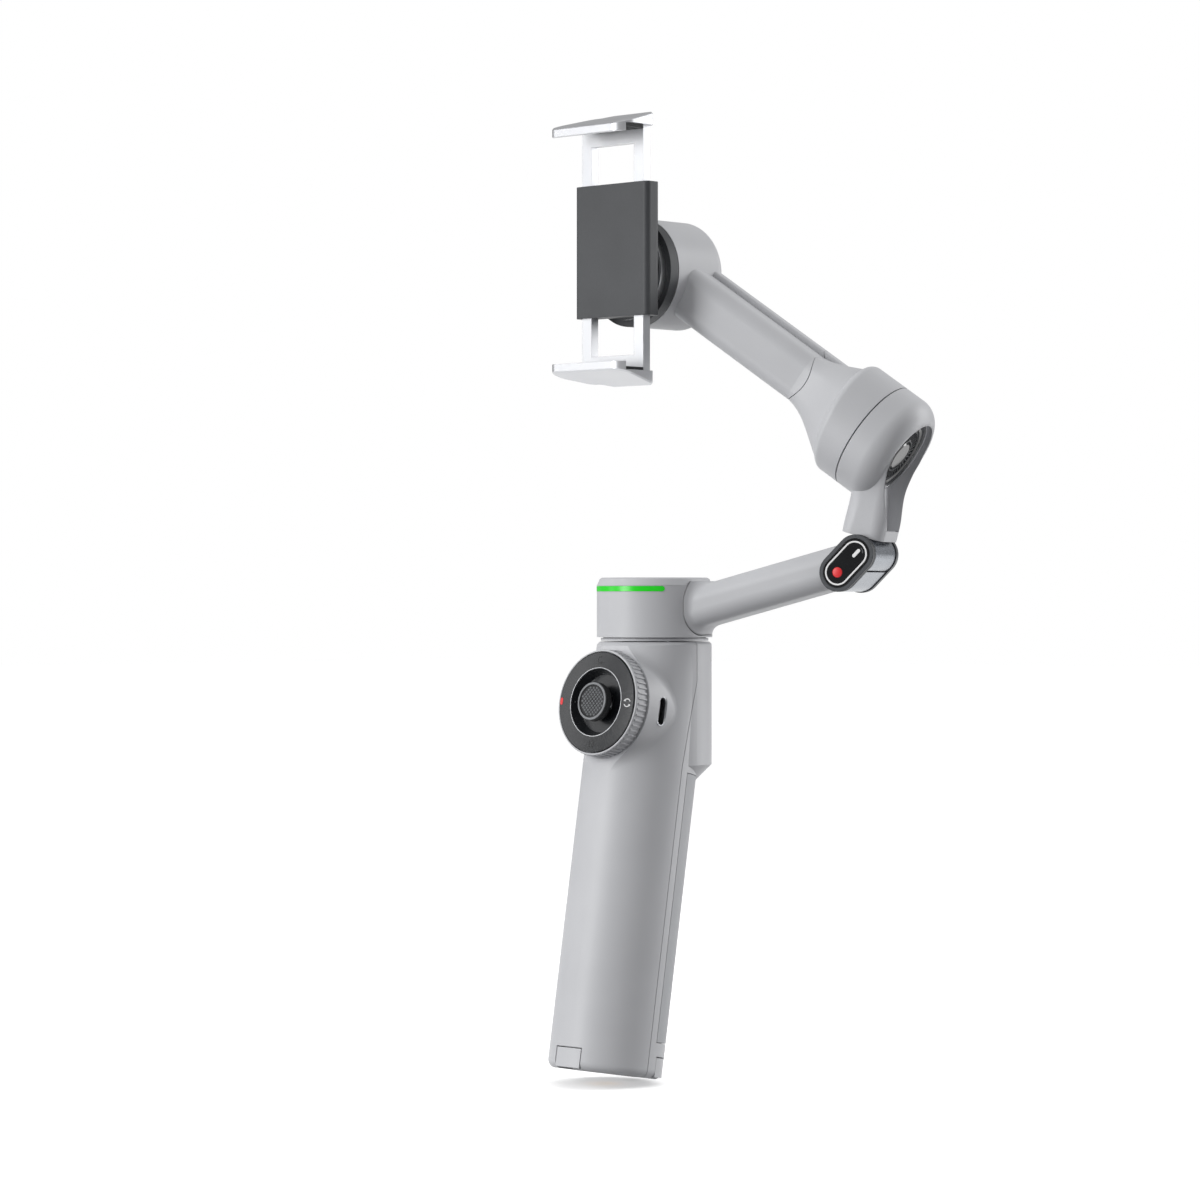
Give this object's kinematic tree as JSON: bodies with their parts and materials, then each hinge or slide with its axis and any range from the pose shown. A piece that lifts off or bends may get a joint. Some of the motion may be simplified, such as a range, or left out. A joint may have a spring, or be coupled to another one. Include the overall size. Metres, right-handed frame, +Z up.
{
  "type": "gimbal stabilizer",
  "caption": "Handheld motorised phone stabiliser: leaning grip with control wheel, green-lit pan motor, folding arm, tilt and roll motors, and a spring-jaw phone clamp.",
  "frame": {"origin": "centre of the grip's flat bottom face, at the mouth of its tripod thread", "axes": "+Z up along the pan motor axis, -Y towards the control wheel and the phone, +X to the side the arm stands out on; the grip leans in the Y-Z plane"},
  "size_m": [0.1026, 0.0813, 0.2911],
  "materials": {
    "shell": "fine matte moulded plastic, warm-neutral light grey",
    "grip_rubber": "soft-touch light grey rubber",
    "black_rubber": "matte black rubber",
    "gloss_black": "glossy black plastic",
    "inner_plastic": "dark grey engineering plastic",
    "dark_metal": "black painted metal",
    "satin_aluminium": "satin blasted and anodised aluminium",
    "rod_metal": "drawn aluminium tube",
    "steel": "plain steel",
    "brass": "turned brass",
    "cell_wrap": "steel can in a shrink wrap",
    "board": "green circuit board",
    "motor_iron": "motor core, windings and magnets taken as one light metal body",
    "status_green": "lit green light guide"
  },
  "bodies": {
    "grip": {"front_shell": "shell", "rear_shell": "shell", "grip_pad": "grip_rubber", "base_plug": "shell", "thread_insert": "brass", "battery_tube": "inner_plastic", "battery_cell": "cell_wrap", "rod_sleeve": "steel", "main_board": "board", "socket_shell": "steel", "socket_tongue": "inner_plastic", "shell_screws": "steel", "stick_housing": "inner_plastic", "trigger_pin": "steel"},
    "trigger": {"trigger": "shell"},
    "dial": {"zoom_dial": "shell"},
    "ring": {"button_ring": "gloss_black"},
    "yoke": {"stick_yoke": "inner_plastic"},
    "stick": {"stick_stem": "steel", "stick_cap": "black_rubber"},
    "tripod": {"tripod_hub": "inner_plastic", "tripod_pins": "steel", "tripod_leg_1": "shell", "tripod_leg_2": "shell", "tripod_leg_3": "shell"},
    "rod_1": {"rod_stage_1": "rod_metal"},
    "rod_2": {"rod_stage_2": "rod_metal"},
    "rod_3": {"rod_stage_3": "rod_metal"},
    "head_base": {"rod_stage_4": "rod_metal", "neck_flange": "inner_plastic", "pan_stator": "motor_iron"},
    "pan_arm": {"pan_rotor": "motor_iron", "pan_housing": "shell", "pan_cap": "shell", "status_light": "status_green", "lower_arm": "shell", "hinge_block": "satin_aluminium", "hinge_front_plate": "dark_metal", "hinge_face": "gloss_black", "hinge_rear_plate": "dark_metal", "hinge_pin": "steel"},
    "fold_arm": {"hinge_barrel": "satin_aluminium", "upper_arm": "shell", "arm_foot_cover": "shell", "tilt_stator": "motor_iron", "tilt_disc": "gloss_black", "tilt_bezel": "satin_aluminium"},
    "link": {"link_arm": "shell", "roll_housing": "shell", "tilt_rotor": "motor_iron", "roll_stator": "motor_iron"},
    "clamp": {"roll_rotor": "inner_plastic", "magnet_plate": "steel", "clamp_frame": "inner_plastic"},
    "upper_jaw": {"jaw_top": "satin_aluminium", "jaw_pad_top": "black_rubber"},
    "lower_jaw": {"jaw_bottom": "satin_aluminium", "jaw_pad_bottom": "black_rubber"}
  },
  "joints": [
    {"name": "rod_slide_1", "type": "slide", "parent": "grip", "child": "rod_1", "axis": [0, 0.1685, 0.9857], "range_m": [0, 0.05]},
    {"name": "rod_slide_2", "type": "slide", "parent": "rod_1", "child": "rod_2", "axis": [0, 0.1685, 0.9857], "range_m": [0, 0.05]},
    {"name": "rod_slide_3", "type": "slide", "parent": "rod_2", "child": "rod_3", "axis": [0, 0.1685, 0.9857], "range_m": [0, 0.05]},
    {"name": "rod_slide_4", "type": "slide", "parent": "rod_3", "child": "head_base", "axis": [0, 0.1685, 0.9857], "range_m": [0, 0.05]},
    {"name": "pan", "type": "hinge", "parent": "head_base", "child": "pan_arm", "pos_m": [0, 0.02229, 0.13041], "axis": [0, 0, 1], "continuous": true},
    {"name": "fold", "type": "hinge", "parent": "pan_arm", "child": "fold_arm", "pos_m": [0.06504, 0.04532, 0.15601], "axis": [-0.3338, 0.9426, 0], "range_deg": [0, 105]},
    {"name": "tilt", "type": "hinge", "parent": "fold_arm", "child": "link", "pos_m": [0.06674, 0.04593, 0.19111], "axis": [-0.7674, -0.2718, 0.5807], "range_deg": [-100, 78]},
    {"name": "roll", "type": "hinge", "parent": "link", "child": "clamp", "pos_m": [0, 0.02229, 0.24161], "axis": [0, -1, 0], "range_deg": [-120, 210]},
    {"name": "jaw_slide_top", "type": "slide", "parent": "clamp", "child": "upper_jaw", "axis": [0, 0, 1], "range_m": [-0.0038, 0.0062]},
    {"name": "jaw_slide_bottom", "type": "slide", "parent": "clamp", "child": "lower_jaw", "axis": [0, 0, -1], "range_m": [-0.0038, 0.0062]},
    {"name": "tripod_slide", "type": "slide", "parent": "grip", "child": "tripod", "axis": [0, -0.1685, -0.9857], "range_m": [0, 0.046]},
    {"name": "dial_turn", "type": "hinge", "parent": "grip", "child": "dial", "pos_m": [0, -0.00342, 0.11177], "axis": [0, -0.9857, 0.1685], "continuous": true},
    {"name": "ring_press", "type": "slide", "parent": "grip", "child": "ring", "axis": [0, 0.9857, -0.1685], "range_m": [0, 0.0004], "stiffness_N_per_m": 2500},
    {"name": "stick_pitch", "type": "hinge", "parent": "grip", "child": "yoke", "pos_m": [0, 0.00269, 0.11073], "axis": [1, 0, 0], "range_deg": [-10, 10], "stiffness_Nm_per_rad": 0.05},
    {"name": "stick_yaw", "type": "hinge", "parent": "yoke", "child": "stick", "pos_m": [0, 0.00269, 0.11073], "axis": [0, 0.1685, 0.9857], "range_deg": [-10, 10], "stiffness_Nm_per_rad": 0.05},
    {"name": "trigger_pull", "type": "hinge", "parent": "grip", "child": "trigger", "pos_m": [0, 0.03529, 0.11891], "axis": [-1, 0, 0], "range_deg": [0, 5], "stiffness_Nm_per_rad": 0.4, "springref_deg": -2.86}
  ],
  "couplings": [
    {"joint": "rod_slide_2", "follows": "rod_slide_1", "ratio": 1},
    {"joint": "rod_slide_3", "follows": "rod_slide_1", "ratio": 1},
    {"joint": "rod_slide_4", "follows": "rod_slide_1", "ratio": 1},
    {"joint": "jaw_slide_bottom", "follows": "jaw_slide_top", "ratio": 1}
  ]
}
